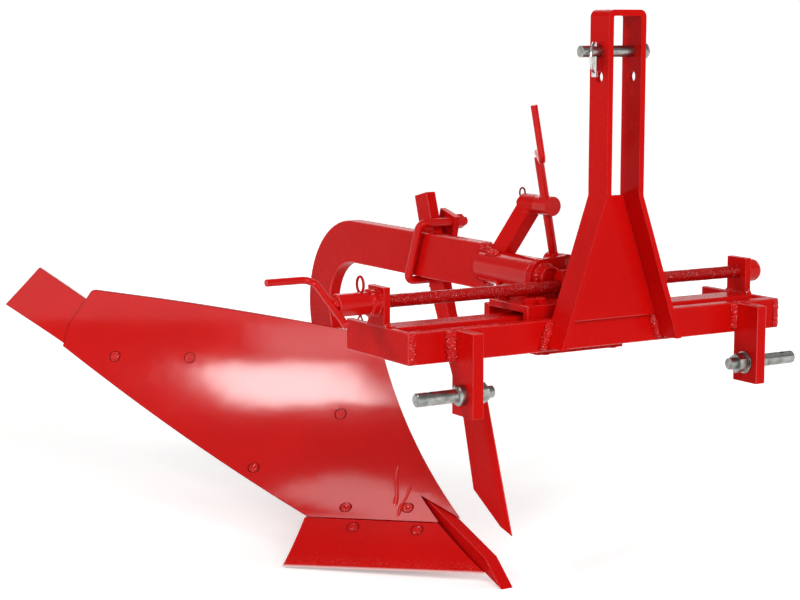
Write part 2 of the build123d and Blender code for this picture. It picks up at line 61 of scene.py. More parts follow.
def middleOf(node):
    low, high = boxOf(node)
    return (low + high) / 2


pivot = middleOf("pivot_axle")
screwAxis = middleOf("shift_screw")
front, back, up, down = (0, -1, 0), (0, 1, 0), (0, 0, 1), (0, 0, -1)

# the cylinder that share and moldboard lie on
boardForm = {"cutAngle": 40.0, "lift": 27.1, "radius": 629.0, "edgeAcross": 144.4, "edgeHeight": 4.0,
             "edgeClimb": 0.0357, "wing": 641.0, "thick": 8.0, "flange": 12.3}
cutTurn = math.radians(boardForm["cutAngle"])
liftTurn = math.radians(boardForm["lift"])
acrossWay = Vector((math.cos(cutTurn), math.sin(cutTurn), 0))
alongWay = Vector((-math.sin(cutTurn), math.cos(cutTurn), 0))
formAcross = boardForm["edgeAcross"] - boardForm["radius"] * math.sin(liftTurn)
formHeight = boardForm["edgeHeight"] + boardForm["radius"] * math.cos(liftTurn)


def onBoard(along, height, depth=0.0):
    drop = formHeight - height
    across = formAcross + math.sqrt(boardForm["radius"] ** 2 - drop ** 2)
    facing = (acrossWay * (formAcross - across) + Vector((0, 0, drop))).normalized()
    place = acrossWay * across + alongWay * along + Vector((0, 0, height)) - facing * depth
    return spot(*place), facing


# finishes

paintLook = {
    "colour": (0.61, 0.0042, 0.0032),
    "deep": (0.50, 0.0028, 0.0024),
    # lighter red for rounded edges and paint runs: painted highlight
    "edge": (0.67, 0.012, 0.011),
    "dust": (0.66, 0.09, 0.08),
    # pale pink: painted glints on welds and thread, and the share's cutting edge, partly ground bare and
    # partly painted highlight
    "bareAndGlint": (0.88, 0.55, 0.54),
    # near-black red: painted shade in gaps round bolt heads and between share and chisel point
    "gap": (0.10, 0.003, 0.003),
    # dark red for the board's rounded edges: painted shade on the plate's thickness
    "rim": (0.16, 0.003, 0.003),
    "thread": (0.40, 0.0025, 0.0022),
    "broadSize": 5.5, "broadRange": (0.35, 0.75, 0.0, 0.55),
    "fineSize": 60, "fineRange": (0.6, 0.9, 0.0, 0.2), "glossRange": (0.3, 0.75),
    "speckSize": 900, "speckRange": (0.74, 0.83, 0.0, 0.1),
    "glintSize": 420, "glintRange": (0.68, 0.72),
    "wearSize": 330, "wearRange": (0.55, 0.66), "wearBand": (0.002, 0.018), "groundAndGlintBand": (0.0012, 0.0034),
    "peelSize": 420, "waveSize": 14, "gritSize": 240,
}


def shaderNode(tree, kind, **values):
    node = tree.nodes.new(kind)
    for key, value in values.items():
        setattr(node, key, value)
    return node


def noiseOf(tree, coords, size, detail=3.0, rough=0.55):
    field = shaderNode(tree, "ShaderNodeTexNoise")
    field.inputs["Scale"].default_value = size
    field.inputs["Detail"].default_value = detail
    field.inputs["Roughness"].default_value = rough
    tree.links.new(coords, field.inputs["Vector"])
    return field.outputs["Fac"]


def rampOf(tree, value, low, high, lowOut=0.0, highOut=1.0):
    ramp = shaderNode(tree, "ShaderNodeMapRange")
    ramp.inputs["From Min"].default_value = low
    ramp.inputs["From Max"].default_value = high
    ramp.inputs["To Min"].default_value = lowOut
    ramp.inputs["To Max"].default_value = highOut
    tree.links.new(value, ramp.inputs["Value"])
    return ramp.outputs["Result"]


def productOf(tree, first, second):
    both = shaderNode(tree, "ShaderNodeMath", operation="MULTIPLY")
    tree.links.new(first, both.inputs[0])
    tree.links.new(second, both.inputs[1])
    return both.outputs[0]


def blendOf(tree, share, first, second):
    mix = shaderNode(tree, "ShaderNodeMix", data_type="RGBA")
    tree.links.new(share, mix.inputs["Factor"])
    for colour, socket in ((first, mix.inputs["A"]), (second, mix.inputs["B"])):
        if hasattr(colour, "is_output"):
            tree.links.new(colour, socket)
        else:
            socket.default_value = (*colour, 1)
    return mix.outputs["Result"]


def bumpOf(tree, height, depth, before=None):
    bump = shaderNode(tree, "ShaderNodeBump")
    bump.inputs["Strength"].default_value = 1.0
    bump.inputs["Distance"].default_value = depth
    tree.links.new(height, bump.inputs["Height"])
    if before:
        tree.links.new(before, bump.inputs["Normal"])
    return bump.outputs["Normal"]


def startMaterial(name):
    material = bpy.data.materials.new(name)
    material.use_nodes = True
    tree = material.node_tree
    shader = tree.nodes["Principled BSDF"]
    place = shaderNode(tree, "ShaderNodeTexCoord").outputs["Object"]
    return material, tree, shader, place


def edgeBand(tree, place):   # height along the share, and its value at the cutting edge
    climb = boardForm["edgeClimb"]
    slope = alongWay * climb + Vector((0, 0, 1))
    dot = shaderNode(tree, "ShaderNodeVectorMath", operation="DOT_PRODUCT")
    dot.inputs[1].default_value = slope
    tree.links.new(place, dot.inputs[0])
    start = slope.dot(zeroPoint) + (climb * boardForm["wing"] + boardForm["edgeHeight"]) / 1000
    return dot.outputs["Value"], start


def redPaint(name, colour, gloss, matt, wave, peel, grit=0.0, specular=0.05, wornWithEdgeGlint=False, glintSpots=0.0):
    material, tree, shader, place = startMaterial(name)
    look = paintLook
    broad = noiseOf(tree, place, look["broadSize"], detail=4.0)
    fine = noiseOf(tree, place, look["fineSize"], detail=5.0, rough=0.65)
    speck = noiseOf(tree, place, look["speckSize"], detail=2.0)
    body = blendOf(tree, rampOf(tree, broad, *look["broadRange"]), colour, look["deep"])
    body = blendOf(tree, rampOf(tree, fine, *look["fineRange"]), body, look["deep"])
    body = blendOf(tree, rampOf(tree, speck, *look["speckRange"]), body, look["dust"])
    if glintSpots:   # small pale spots: painted glints
        field = noiseOf(tree, place, look["glintSize"], detail=1.0)
        body = blendOf(tree, rampOf(tree, field, *look["glintRange"], 0.0, glintSpots), body, look["bareAndGlint"])
    if wornWithEdgeGlint:   # dust speckled towards the cutting edge; the pale band along it is partly ground-bare steel, partly painted highlight
        height, start = edgeBand(tree, place)
        near = rampOf(tree, height, *(start + reach for reach in look["wearBand"]), 1.0, 0.0)
        spots = rampOf(tree, noiseOf(tree, place, look["wearSize"], detail=4.0), *look["wearRange"])
        body = blendOf(tree, productOf(tree, near, spots), body, look["dust"])
        groundAndGlint = rampOf(tree, height, *(start + reach for reach in look["groundAndGlintBand"]), 1.0, 0.0)
        body = blendOf(tree, groundAndGlint, body, look["bareAndGlint"])
    tree.links.new(body, shader.inputs["Base Color"])
    tree.links.new(rampOf(tree, fine, *look["glossRange"], gloss, matt), shader.inputs["Roughness"])
    normal = bumpOf(tree, noiseOf(tree, place, look["waveSize"], detail=2.0), wave)
    normal = bumpOf(tree, noiseOf(tree, place, look["peelSize"], detail=2.0), peel, normal)
    if grit:
        normal = bumpOf(tree, noiseOf(tree, place, look["gritSize"], detail=2.0, rough=0.5), grit, normal)
    tree.links.new(normal, shader.inputs["Normal"])
    shader.inputs["Specular IOR Level"].default_value = specular
    return material


steelLook = {"turned": (520, 24, 24), "markRange": (0.5, 0.8, 0.0, 0.35), "markDepth": 0.00006,
             "cloudSize": 70, "cloudRange": (0.35, 0.7), "glossRange": (0.3, 0.75)}


def bareSteel(name, gloss, matt, light, dark):
    material, tree, shader, place = startMaterial(name)
    look = steelLook
    stretch = shaderNode(tree, "ShaderNodeMapping")
    stretch.inputs["Scale"].default_value = look["turned"]
    tree.links.new(place, stretch.inputs["Vector"])
    marks = noiseOf(tree, stretch.outputs["Vector"], 1.0)
    cloud = noiseOf(tree, place, look["cloudSize"], detail=4.0)
    colour = blendOf(tree, rampOf(tree, cloud, *look["cloudRange"]), light, dark)
    colour = blendOf(tree, rampOf(tree, marks, *look["markRange"]), colour, dark)
    tree.links.new(colour, shader.inputs["Base Color"])
    tree.links.new(rampOf(tree, cloud, *look["glossRange"], gloss, matt), shader.inputs["Roughness"])
    tree.links.new(bumpOf(tree, marks, look["markDepth"]), shader.inputs["Normal"])
    shader.inputs["Metallic"].default_value = 1.0
    return material


red = paintLook["colour"]
framePaint = redPaint("framePaint", red, gloss=0.2, matt=0.32, wave=0.0003, peel=0.00005)
roundPaint = redPaint("roundPaint", red, gloss=0.14, matt=0.24, wave=0.0003, peel=0.00005, specular=0.2)
# rounded edges lighter and glossier; the lighter colour is painted highlight
edgeHighlightPaint = redPaint("edgeHighlightPaint", paintLook["edge"], gloss=0.1, matt=0.18, wave=0.0002, peel=0.00003,
                     specular=0.5)
boardPaint = redPaint("boardPaint", red, gloss=0.1, matt=0.14, wave=0.0004, peel=0.00002, specular=0.42)
# the share's pale cutting edge is partly ground bare, partly painted highlight
sharePaint = redPaint("sharePaint", red, gloss=0.2, matt=0.3, wave=0.0005, peel=0.00005, specular=0.1,
                      wornWithEdgeGlint=True)
threadPaint = redPaint("threadPaint", paintLook["thread"], gloss=0.06, matt=0.14, wave=0.0003, peel=0.00002,
                       grit=0.0012, specular=0.14, glintSpots=0.45)
# pale spots on the welds and thread: painted glints
weldPaint = redPaint("weldPaint", red, gloss=0.05, matt=0.11, wave=0.0004, peel=0.00002, grit=0.0014,
                     specular=0.16, glintSpots=0.9)
# painted shade along the board's edges
rimShadePaint = redPaint("rimShadePaint", paintLook["rim"], gloss=0.3, matt=0.5, wave=0.0003, peel=0.00005)
# painted shade for gaps
darkShadePaint = redPaint("darkShadePaint", paintLook["gap"], gloss=0.4, matt=0.6, wave=0.0003, peel=0.0001)
zincSteel = bareSteel("zincSteel", 0.22, 0.36, light=(0.44, 0.45, 0.43), dark=(0.19, 0.2, 0.185))
brightSteel = bareSteel("brightSteel", 0.14, 0.26, light=(0.76, 0.76, 0.75), dark=(0.5, 0.5, 0.49))
print("finishes ready")

# the solids: rounded edges and their finish

edgeRounds = {   # millimetres
    "mast": 1.6, "tilt_arm": 2.5, "front_bar": 1.8, "end_bar_left": 1.8, "end_bar_right": 1.8,
    "lower_bracket_left": 1.4, "lower_bracket_right": 1.4, "beam": 2.2, "knife_coulter": 0.7,
    "moldboard": 1.2, "moldboard_tail": 1.2, "share": 0.8, "pivot_tube": 1.5, "shift_hub": 1.5,
    "slide_rail": 0.6, "linch_pin": 0.0, "shift_crank": 1.2, "tilt_crank": 1.2, "trunnion_nut": 1.4,
    "mast_web": 1.4, "coulter_clamp": 1.6,
}
roundLook = {"usual": 1.2, "wideFrom": 2.0, "merge": 0.00002, "flatAngle": 0.6, "sharpAngle": 35,
             "evenWeight": 60}
boardNodes = {"moldboard", "moldboard_tail"}
roundNodes = {"pivot_tube", "pivot_axle", "shift_hub", "shift_boss", "shift_end_nut", "shift_crank",
              "tilt_crank", "tilt_screw", "trunnion_nut", "swivel_pin", "coulter_u_bolt",
              "coulter_nut_upper", "coulter_nut_lower"}
zincNodes = {"lower_pin_left", "lower_pin_right", "lower_pin_nut_left", "lower_pin_nut_right",
             "top_link_pin"}


def roundEdges(piece, width, segments=2, edgeSlot=-1):
    look = roundLook
    weld = piece.modifiers.new("joinSeams", "WELD")
    weld.merge_threshold = look["merge"]
    flat = piece.modifiers.new("flatFaces", "DECIMATE")
    flat.decimate_type = "DISSOLVE"
    flat.angle_limit = math.radians(look["flatAngle"])
    bevel = piece.modifiers.new("edgeRound", "BEVEL")
    bevel.width = width / 1000
    bevel.segments = segments
    bevel.limit_method = "ANGLE"
    bevel.angle_limit = math.radians(look["sharpAngle"])
    bevel.use_clamp_overlap = True
    bevel.material = edgeSlot
    even = piece.modifiers.new("evenShade", "WEIGHTED_NORMAL")
    even.mode = "FACE_AREA"
    even.weight = look["evenWeight"]
    even.keep_sharp = False


def finishOf(name):   # the finish of a solid and of its rounded edges
    if name in zincNodes:
        return zincSteel, None
    if name == "linch_pin":
        return brightSteel, None
    if name == "share":
        return sharePaint, None
    if name in boardNodes:
        # the board's rounded edges take a darker painted shade
        return boardPaint, rimShadePaint
    # the other solids' rounded edges take the lighter red of a painted highlight
    return roundPaint if name in roundNodes else framePaint, edgeHighlightPaint


def finishSolids():
    for name, node in nodes.items():
        finish, edge = finishOf(name)
        node.data.materials.clear()
        node.data.materials.append(finish)
        if edge:
            node.data.materials.append(edge)
        width = edgeRounds.get(name, roundLook["usual"])
        if width:
            roundEdges(node, width, 3 if width > roundLook["wideFrom"] else 2, 1 if edge else -1)


finishSolids()
print("solids finished")

# small mesh tools


def makePiece(name, mesh, finish, body, edge=0.0):
    data = bpy.data.meshes.new(name)
    bmesh.ops.recalc_face_normals(mesh, faces=mesh.faces)
    mesh.to_mesh(data)
    mesh.free()
    data.materials.append(finish)
    for face in data.polygons:
        face.use_smooth = True
    piece = bpy.data.objects.new(name, data)
    scene.collection.objects.link(piece)
    if edge:
        roundEdges(piece, edge)
    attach(piece, body)
    return piece


def sideVectors(axis):
    axis = axis.normalized()
    first = axis.orthogonal().normalized()
    return first, axis.cross(first)


def ringAt(mesh, centre, first, second, radius, sides, turn=0.0):
    ring = []
    for k in range(sides):
        angle = 2 * math.pi * k / sides + turn
        ring.append(mesh.verts.new(centre + (first * math.cos(angle) + second * math.sin(angle)) * radius))
    return ring


def joinRings(mesh, rings, capped=True):
    for low, high in zip(rings, rings[1:]):
        sides = max(len(low), len(high))
        for k in range(sides):
            n = (k + 1) % sides
            ends = [low[k % len(low)], low[n % len(low)], high[n % len(high)], high[k % len(high)]]
            mesh.faces.new(list(dict.fromkeys(ends)))
    if capped:
        for ring in (rings[0][::-1], rings[-1]):
            if len(ring) > 2:
                mesh.faces.new(ring)


def addTube(mesh, points, radii, sides=8):
    rings = []
    first = None
    for i, point in enumerate(points):
        axis = (points[min(i + 1, len(points) - 1)] - points[max(i - 1, 0)]).normalized()
        if first is None:
            first = sideVectors(axis)[0]
        first = (first - axis * first.dot(axis)).normalized()
        rings.append(ringAt(mesh, point, first, axis.cross(first), radii[i], sides))
    joinRings(mesh, rings)


def addTurned(mesh, base, axis, profile, sides=24, capped=True):   # profile of radius and height
    first, second = sideVectors(axis)
    rings = []
    for radius, height in profile:
        centre = base + axis.normalized() * height / 1000
        if radius:
            rings.append(ringAt(mesh, centre, first, second, radius / 1000, sides))
        else:
            rings.append([mesh.verts.new(centre)])
    joinRings(mesh, rings if capped else rings + rings[:1], capped)


hexShape = ((0.0, 1.0), (0.86, 1.0), (1.0, 0.88))   # share of the height, share of the width


def addHex(mesh, base, axis, flats, height, turn=0.0):
    first, second = sideVectors(axis)
    corner = flats / math.sqrt(3) / 1000
    rings = []
    for share, scale in hexShape:
        centre = base + axis.normalized() * height * share / 1000
        rings.append(ringAt(mesh, centre, first, second, corner * scale, 6, turn))
    joinRings(mesh, rings)


def easeOf(part):
    return part * part * (3 - 2 * part)


# shift screw, its thread half filled with paint

shiftThread = {
    "pitch": 5.0, "crest": 11.0, "root": 9.5, "sides": 30, "rows": 8, "plainEnd": 18.0,
    "fillMean": 0.55, "fillLeast": 0.1, "fillLength": 22.0, "fillTurn": 1.2,
    "lump": 0.5, "lumpLength": 3.2, "lumpTurn": 3.5,
}


def aroundNoise(along, turn, length, spread):
    return noise.noise(Vector((along / length, math.cos(turn) * spread, math.sin(turn) * spread)))


def threadDepth(along, k):
    look = shiftThread
    turn = 2 * math.pi * k / look["sides"]
    phase = (along / look["pitch"] + k / look["sides"]) % 1
    tooth = easeOf(abs(phase - 0.5) * 2)
    fill = aroundNoise(along, turn, look["fillLength"], look["fillTurn"])
    lump = aroundNoise(along, turn, look["lumpLength"], look["lumpTurn"])
    clear = max(look["fillLeast"], min(1.0, look["fillMean"] - fill))   # share of the groove without paint
    return (look["crest"] - look["root"]) * (1 - tooth) * clear + look["lump"] * max(0.0, lump)


def shiftScrew():
    look = shiftThread
    low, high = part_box("shift_screw")
    centre = (low + high) / 2
    length = (high.x - low.x) * 1000
    count = int(length / look["pitch"] * look["rows"])
    mesh = bmesh.new()
    rings = []
    for i in range(count + 1):
        along = length * i / count
        threaded = look["plainEnd"] < along < length - look["plainEnd"]
        ring = []
        for k in range(look["sides"]):
            turn = 2 * math.pi * k / look["sides"]
            radius = look["crest"] - (threadDepth(along, k) if threaded else 0.0)
            ring.append(mesh.verts.new((low.x + along / 1000, centre.y + math.cos(turn) * radius / 1000,
                                        centre.z + math.sin(turn) * radius / 1000)))
        rings.append(ring)
    joinRings(mesh, rings)
    piece = makePiece("shiftScrewThread", mesh, threadPaint, "hitch_frame")
    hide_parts("shift_screw")


shiftScrew()
print("shift screw threaded")

# plough bottom: bolts set on the board's own curve

ploughBolts = {
    "places": [(1133.5, 329.6), (964.1, 335.5), (619.7, 248.2), (775.8, 144.4), (563.2, 93.5),
               (440.5, 100.4), (536.3, 64.7), (409.6, 68.7)],   # along and height on the board
    "sunk": 1.0,
    "head": 10.4,
    "rim": [(0.0, 0), (0.0, 1.4), (0.9, 2.3), (2.2, 2.2), (3.2, 1.0), (4.2, 1.1), (5.0, 2.4)],   # in, up
    "socket": [(4.0, 2.5), (2.4, 1.4), (0, 1.2)],   # radius, up
    "gap": [(-0.4, 0), (2.2, 0), (2.2, 1.1), (-0.4, 1.25)],   # out, up
    "washer": [(12.0, 0), (12.0, 2.0), (11.4, 2.4)],
    "nut": 19.0,
    "nutHeight": 11.0,
    "end": [(6.0, 0), (6.0, 5.0), (5.2, 6.0)],
    "nutGap": 0.2,
    "tailGap": 0.3,
    "tailFrom": 1100.0,
    "flangeTo": 650.0,
}


def boltHeads():
    look = ploughBolts
    headProfile = [(look["head"] - inwards, height) for inwards, height in look["rim"]] + look["socket"]
    gapProfile = [(look["head"] + outwards, height) for outwards, height in look["gap"]]
    heads = bmesh.new()
    gaps = bmesh.new()
    for along, height in look["places"]:
        base, facing = onBoard(along, height, look["sunk"])
        addTurned(heads, base, facing, headProfile, sides=28)
        addTurned(gaps, base, facing, gapProfile, sides=32, capped=False)
    makePiece("ploughBoltHeads", heads, boardPaint, "plough_body")
    # dark rings round the bolt heads: painted shade of the groove
    makePiece("ploughBoltShadeRings", gaps, darkShadePaint, "plough_body")


def boltNuts():
    look = ploughBolts
    seat = look["washer"][-1][1]
    mesh = bmesh.new()
    for along, height in look["places"]:
        depth = boardForm["thick"] + look["nutGap"]
        if along > look["tailFrom"]:
            depth += boardForm["thick"] + look["tailGap"]
        elif along < look["flangeTo"]:
            depth += boardForm["flange"]
        base, facing = onBoard(along, height, depth)
        addTurned(mesh, base, -facing, look["washer"])
        addHex(mesh, base - facing * seat / 1000, -facing, look["nut"], look["nutHeight"], along)
        nutTop = base - facing * (seat + look["nutHeight"]) / 1000
        addTurned(mesh, nutTop, -facing, look["end"], sides=18)
    makePiece("ploughBoltNuts", mesh, framePaint, "plough_body", edge=0.5)


boltHeads()
boltNuts()

paintRuns = {   # along, height, half width, how proud
    "wide": [(480, 167, 1.2, 0.5), (480, 157, 4.6, 1.9), (477.4, 142, 6.0, 2.3), (472.6, 130, 4.4, 2.0),
             (468.3, 120, 4.2, 2.2), (467.4, 111, 5.6, 2.7), (466.4, 104, 4.6, 2.4), (466, 99, 1.0, 0.5)],
    "thin": [(445, 145, 1.0, 0.5), (446.4, 133, 3.0, 1.7), (447, 121.6, 3.4, 2.0), (449.4, 111, 3.0, 2.0),
             (454, 104, 3.4, 2.0), (455, 96, 4.4, 2.5), (454.5, 89, 3.6, 2.2), (454.3, 85, 0.9, 0.5)],
}
runLook = {"sides": 14, "steps": 8, "sink": 0.1}


def paintTears():
    sides, steps, sink = runLook["sides"], runLook["steps"], runLook["sink"]
    mesh = bmesh.new()
    for run in paintRuns.values():
        rings = []
        for k in range((len(run) - 1) * steps + 1):
            i = min(k // steps, len(run) - 2)
            part = easeOf(k / steps - i)
            along, height, wide, proud = (a * (1 - part) + b * part for a, b in zip(run[i], run[i + 1]))
            ring = []
            for j in range(sides):
                turn = 2 * math.pi * j / sides
                place, facing = onBoard(along + wide * math.cos(turn), height)
                ring.append(mesh.verts.new(place + facing * (proud * math.sin(turn) - sink) / 1000))
            rings.append(ring)
        joinRings(mesh, rings)
    # runs take the lighter edge red: painted highlight
    makePiece("paintRuns", mesh, edgeHighlightPaint, "plough_body")


paintTears()

shareGap = {"wide": 1.0, "start": 290.0, "length": 165.0, "flare": 8.5, "from": 0.13,
            "deep": (0.8, 4.5), "thick": (1.2, 3.0), "lap": 1.2, "steps": 24}


def pointShadeStrip():   # dark strip in the gap between share and chisel point: painted shade
    look = shareGap
    bar = boxOf("chisel_point")[0].x
    mesh = bmesh.new()
    rings = []
    for i in range(look["steps"] + 1):
        part = look["from"] + (1 - look["from"]) * i / look["steps"]
        deep, thick = (low + (high - low) * part for low, high in (look["deep"], look["thick"]))
        y = look["start"] + look["length"] * part
        sides = bar - look["wide"] - look["flare"] * part - look["lap"], bar + look["lap"]
        across = Vector(((sides[0] + sides[1]) / 2, y, 0)).dot(acrossWay)
        top = formHeight - math.sqrt(boardForm["radius"] ** 2 - (across - formAcross) ** 2) - deep
        low = top - thick
        corners = ((sides[0], top), (sides[1], top), (sides[1], low), (sides[0], low))
        rings.append([mesh.verts.new(spot(x, y, z)) for x, z in corners])
    joinRings(mesh, rings)
    makePiece("pointShadeStrip", mesh, darkShadePaint, "plough_body")


pointShadeStrip()
print("plough bottom dressed")

# welds, each a lumpy seam in the corner of two faces or a flat bead along one

weldLook = {"step": 1.0, "across": 11, "sink": 0.6, "taperFrom": 0.5, "taperStep": 0.17, "hollow": 0.16,
            "ripple": 5.0, "rippleSize": 0.05, "lump": 0.42, "grainSize": 330, "grainShare": 0.55,
            "broadSize": 75, "broadShare": 0.45, "leastSteps": 8, "leastRingSteps": 12}
filletSpan, beadSpan = 90, 180   # degrees from one side to the other


def seam(mesh, stations, legA, legB, span=filletSpan):   # stations of corner and the two side directions
    look = weldLook
    rings, travel = [], 0.0
    count = len(stations) - 1
    for i, (corner, sideA, sideB) in enumerate(stations):
        travel += (corner - stations[max(i - 1, 0)][0]).length * 1000
        taper = min(1.0, look["taperFrom"] + min(i, count - i) * look["taperStep"])
        broad = noise.noise(corner * look["broadSize"])
        outwards = sideA + sideB if span == filletSpan else sideB
        ring = [mesh.verts.new(corner - outwards * look["sink"] / 1000)]
        for k in range(look["across"]):
            turn = math.radians(span * k / (look["across"] - 1))
            reach = (sideA * legA * math.cos(turn) + sideB * legB * math.sin(turn)) / 1000
            size = taper * (1 - look["hollow"] * math.sin(2 * turn) if span == filletSpan else 1)
            wave = math.sin(2 * math.pi * (travel / look["ripple"] - 0.5 * math.sin(turn * 180 / span)))
            grain = noise.noise((corner + reach) * look["grainSize"])
            lump = look["grainShare"] * grain + look["broadShare"] * broad
            size *= 1 + look["rippleSize"] * wave + look["lump"] * lump
            ring.append(mesh.verts.new(corner + reach * size))
        rings.append(ring)
    joinRings(mesh, rings)


def straightSeam(mesh, start, end, sideA, sideB, legA, legB=None, span=filletSpan):
    start, end = Vector(start), Vector(end)
    count = max(weldLook["leastSteps"], int((end - start).length / weldLook["step"]))
    sideA, sideB = Vector(sideA).normalized(), Vector(sideB).normalized()
    stations = [(spot(*start.lerp(end, i / count)), sideA, sideB) for i in range(count + 1)]
    seam(mesh, stations, legA, legB or legA, span)


def flatBead(mesh, start, end, across, outward, size):   # size is half width and height
    straightSeam(mesh, start, end, across, outward, *size, beadSpan)


def ringSeam(mesh, centre, first, second, radius, outward, leg, start=0, end=360):
    sweep = math.radians(end - start)
    count = max(weldLook["leastRingSteps"], int(abs(sweep) * radius / weldLook["step"]))
    stations = []
    for i in range(count + 1):
        turn = math.radians(start) + sweep * i / count
        side = Vector(first) * math.cos(turn) + Vector(second) * math.sin(turn)
        stations.append((spot(*(Vector(centre) + side * radius)), side, Vector(outward)))
    seam(mesh, stations, leg, leg)


mastLeg = {"half": 38.0, "bend": 735.0, "splay": 0.353, "flat": 10.6}


def legX(z):   # outer face of a splayed mast leg
    return mastLeg["half"] + (mastLeg["bend"] - z) * mastLeg["splay"]


def mastSeam(mesh, side, zRange, inset, sideA, sideB, leg):
    ends = [(side * (legX(z) - inset), 0, z) for z in zRange]
    straightSeam(mesh, ends[0], ends[1], sideA, sideB, leg)


frameSeams = {
    "endBead": (6.0, 3.0), "endBeadAt": 5.0, "endInset": 1.0,
    "barLeg": 5.0, "barInset": 2.0,
    "bracketLeg": 13.0, "bracketInnerLeg": 9.0, "bracketInset": 6.0,
    "bracketBead": (5.0, 2.2), "bracketBack": 1.0,
    "mastLeg": 10.5, "mastZ": (485, 532), "mastInnerLeg": 8.5, "mastInnerZ": (486, 527),
    "webLeg": 5.0, "webZ": (536, 715), "webHalf": 100,
    "uprightLeg": 8.0, "uprightBead": (4.0, 2.0), "uprightInset": 3.0,
    "railLeg": 5.0, "railInset": 4.0, "railBead": (5.0, 2.4), "railTack": (5.0, 15.0),
    "hub": 18.5, "hubLeg": 4.5, "boss": 20.5, "bossLeg": 2.6,
    "crankRise": (0, 16, 9), "crankLift": (0, -9, 16), "crankHalf": 12.0, "crankThick": 5.6, "crankLeg": 4.5,
}


def sideWelds(mesh, side):   # one side of the hitch frame
    look = frameSeams
    out, inward = (side, 0, 0), (-side, 0, 0)
    barLow, barHigh = boxOf("front_bar")
    low, top, end = barLow.z, barHigh.z, side * barHigh.x

    middle = end + side * look["endBeadAt"]
    inset = look["endInset"]
    flatBead(mesh, (middle, 0, low + inset), (middle, 0, top - inset), out, front, look["endBead"])
    y, inset = barHigh.y, look["barInset"]
    straightSeam(mesh, (end, y, low + inset), (end, y, top - inset), inward, back, look["barLeg"])

    bracketLow, bracketHigh = boxOf("lower_bracket_left")
    outer, inner = side * bracketHigh.x, side * bracketLow.x
    straightSeam(mesh, (outer, 0, low), (outer, 0, top), out, front, look["bracketLeg"])
    start = low + look["bracketInset"]
    straightSeam(mesh, (inner, 0, start), (inner, 0, top), inward, front, look["bracketInnerLeg"])
    y = look["bracketBack"]
    flatBead(mesh, (outer, y, top), (inner, y, top), front, up, look["bracketBead"])

    mastSeam(mesh, side, look["mastZ"], 0, out, front, look["mastLeg"])
    mastSeam(mesh, side, look["mastInnerZ"], mastLeg["flat"], inward, front, look["mastInnerLeg"])
    mastSeam(mesh, side, look["webZ"], mastLeg["flat"], inward, back, look["webLeg"])

    postLow, postHigh = boxOf("screw_upright_left")
    rim = side * postHigh.x
    for y, way in ((postLow.y, front), (postHigh.y, back)):
        straightSeam(mesh, (end, y, top), (rim, y, top), way, up, look["uprightLeg"])
    start, stop = postLow.y + look["uprightInset"], postHigh.y - look["uprightInset"]
    flatBead(mesh, (end, start, top), (end, stop, top), up, inward, look["uprightBead"])

    railLow, railHigh = boxOf("slide_rail")
    inset = look["railInset"]
    for y, way in ((railLow.y, front), (railHigh.y, back)):
        straightSeam(mesh, (end, y, low + inset), (end, y, top - inset), inward, way, look["railLeg"])
    start, stop = ((end, railLow.y + reach, top) for reach in look["railTack"])
    flatBead(mesh, start, stop, inward, up, look["railBead"])


def frameWelds():
    look = frameSeams
    mesh = bmesh.new()
    for side in (-1, 1):
        sideWelds(mesh, side)
    top = boxOf("front_bar")[1].z
    straightSeam(mesh, (-look["webHalf"], 0, top), (look["webHalf"], 0, top), back, up, look["webLeg"])

    hubLow, hubHigh = boxOf("shift_hub")
    bossEnd = boxOf("shift_boss")[1].x
    hubAxis, y, z = (-1, 0, 0), screwAxis.y, screwAxis.z
    ringSeam(mesh, (hubHigh.x, y, z), back, up, look["hub"], hubAxis, look["hubLeg"])
    ringSeam(mesh, (bossEnd, y, z), back, up, look["boss"], hubAxis, look["bossLeg"])
    rise, lift = Vector(look["crankRise"]).normalized(), Vector(look["crankLift"]).normalized()
    hubEnd = Vector((hubLow.x, y, z))
    for way in (-1, 1):
        edge = hubEnd + lift * look["crankThick"] * way
        start, end = (edge + rise * reach for reach in (-look["crankHalf"], look["crankHalf"]))
        straightSeam(mesh, start, end, lift * way, hubAxis, look["crankLeg"])
    makePiece("frameWelds", mesh, weldPaint, "hitch_frame")


carriageSeams = {"plateLeg": 7.0, "plateInset": 2.0, "axle": 19.0, "axleLeg": 6.0,
                 "nutLeg": 4.5, "nutInset": 1.5}


def carriageWelds():
    look = carriageSeams
    top = boxOf("saddle")[1].z
    plateLow, plateHigh = boxOf("pivot_plate")
    nutLow, nutHigh = boxOf("shift_nut")
    mesh = bmesh.new()
    y = plateLow.y
    start, stop = plateLow.x + look["plateInset"], plateHigh.x - look["plateInset"]
    straightSeam(mesh, (start, y, top), (stop, y, top), front, up, look["plateLeg"])
    ringSeam(mesh, (pivot.x, y, pivot.z), (1, 0, 0), up, look["axle"], front, look["axleLeg"])
    start, stop = nutLow.x + look["nutInset"], nutHigh.x - look["nutInset"]
    for y, way in ((nutLow.y, front), (nutHigh.y, back)):
        straightSeam(mesh, (start, y, top), (stop, y, top), way, up, look["nutLeg"])
    makePiece("carriageWelds", mesh, weldPaint, "carriage")


